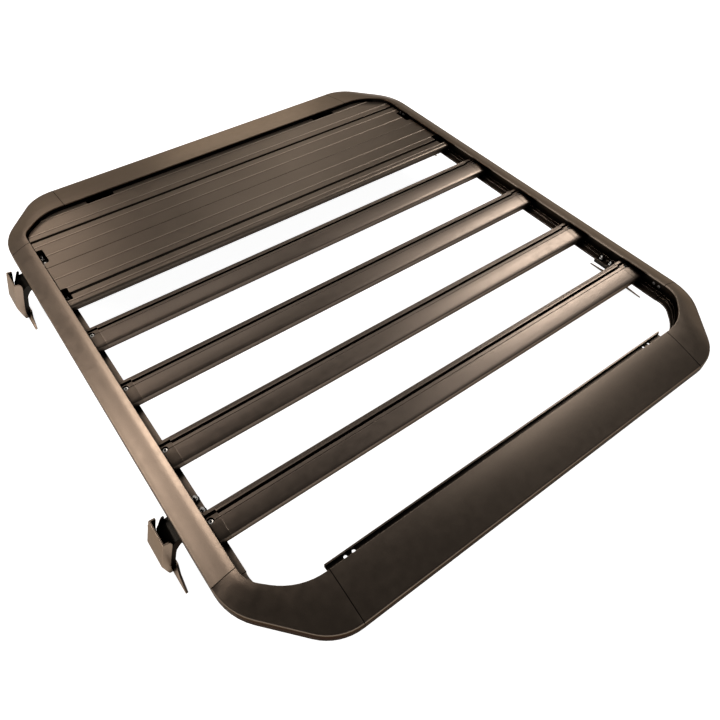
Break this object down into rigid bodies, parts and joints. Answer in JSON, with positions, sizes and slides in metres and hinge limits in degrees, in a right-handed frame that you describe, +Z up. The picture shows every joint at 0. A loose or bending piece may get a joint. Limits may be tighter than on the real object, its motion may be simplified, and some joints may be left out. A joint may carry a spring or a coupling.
{
  "type": "vehicle roof rack",
  "caption": "Flat platform roof rack: domed perimeter frame with lofted corners, planked rear deck, slotted crossbars and gutter feet.",
  "frame": {"origin": "on the ground plane under the middle of the rack, at the tips of the feet", "axes": "+Z up, +Y from the front fairing towards the planked deck at the rear, +X to the right side rail"},
  "size_m": [1.3748, 1.453, 0.15],
  "materials": {
    "frame_coat": "dark brown-grey satin powder coat on aluminium",
    "deck_coat": "dark brown-grey satin powder coat on aluminium",
    "bar_coat": "dark brown-grey satin powder coat on aluminium",
    "end_coat": "dark satin powder coat",
    "clip_coat": "black satin coat",
    "foot_coat": "black satin coat",
    "cover_coat": "dark satin powder coat"
  },
  "bodies": {
    "root": {"left_side_rail": "frame_coat", "right_side_rail": "frame_coat", "rear_rail": "frame_coat", "front_fairing": "frame_coat", "corner_front_left": "frame_coat", "corner_front_right": "frame_coat", "corner_rear_left": "frame_coat", "corner_rear_right": "frame_coat", "deck_plank_rear": "deck_coat", "deck_plank_middle_1": "deck_coat", "deck_plank_middle_2": "deck_coat", "deck_plank_nose": "deck_coat", "deck_clip_nose_left": "clip_coat", "deck_clip_nose_right": "clip_coat", "deck_clip_middle_left": "clip_coat", "deck_clip_middle_right": "clip_coat", "deck_clip_rear_left": "clip_coat", "deck_clip_rear_right": "clip_coat", "crossbar_1": "bar_coat", "crossbar_2": "bar_coat", "crossbar_3": "bar_coat", "crossbar_4": "bar_coat", "bar_end_1_left": "end_coat", "bar_end_1_right": "end_coat", "bar_end_2_left": "end_coat", "bar_end_2_right": "end_coat", "bar_end_3_left": "end_coat", "bar_end_3_right": "end_coat", "bar_end_4_left": "end_coat", "bar_end_4_right": "end_coat", "foot_knee_front_left": "foot_coat", "foot_knee_front_right": "foot_coat", "foot_knee_rear_left": "foot_coat", "foot_knee_rear_right": "foot_coat", "gutter_shoe_front_left": "cover_coat", "gutter_shoe_front_right": "cover_coat", "gutter_shoe_rear_left": "cover_coat", "gutter_shoe_rear_right": "cover_coat", "clamp_cover_front_left": "cover_coat", "clamp_cover_front_right": "cover_coat", "clamp_cover_rear_left": "cover_coat", "clamp_cover_rear_right": "cover_coat"}
  },
  "joints": []
}
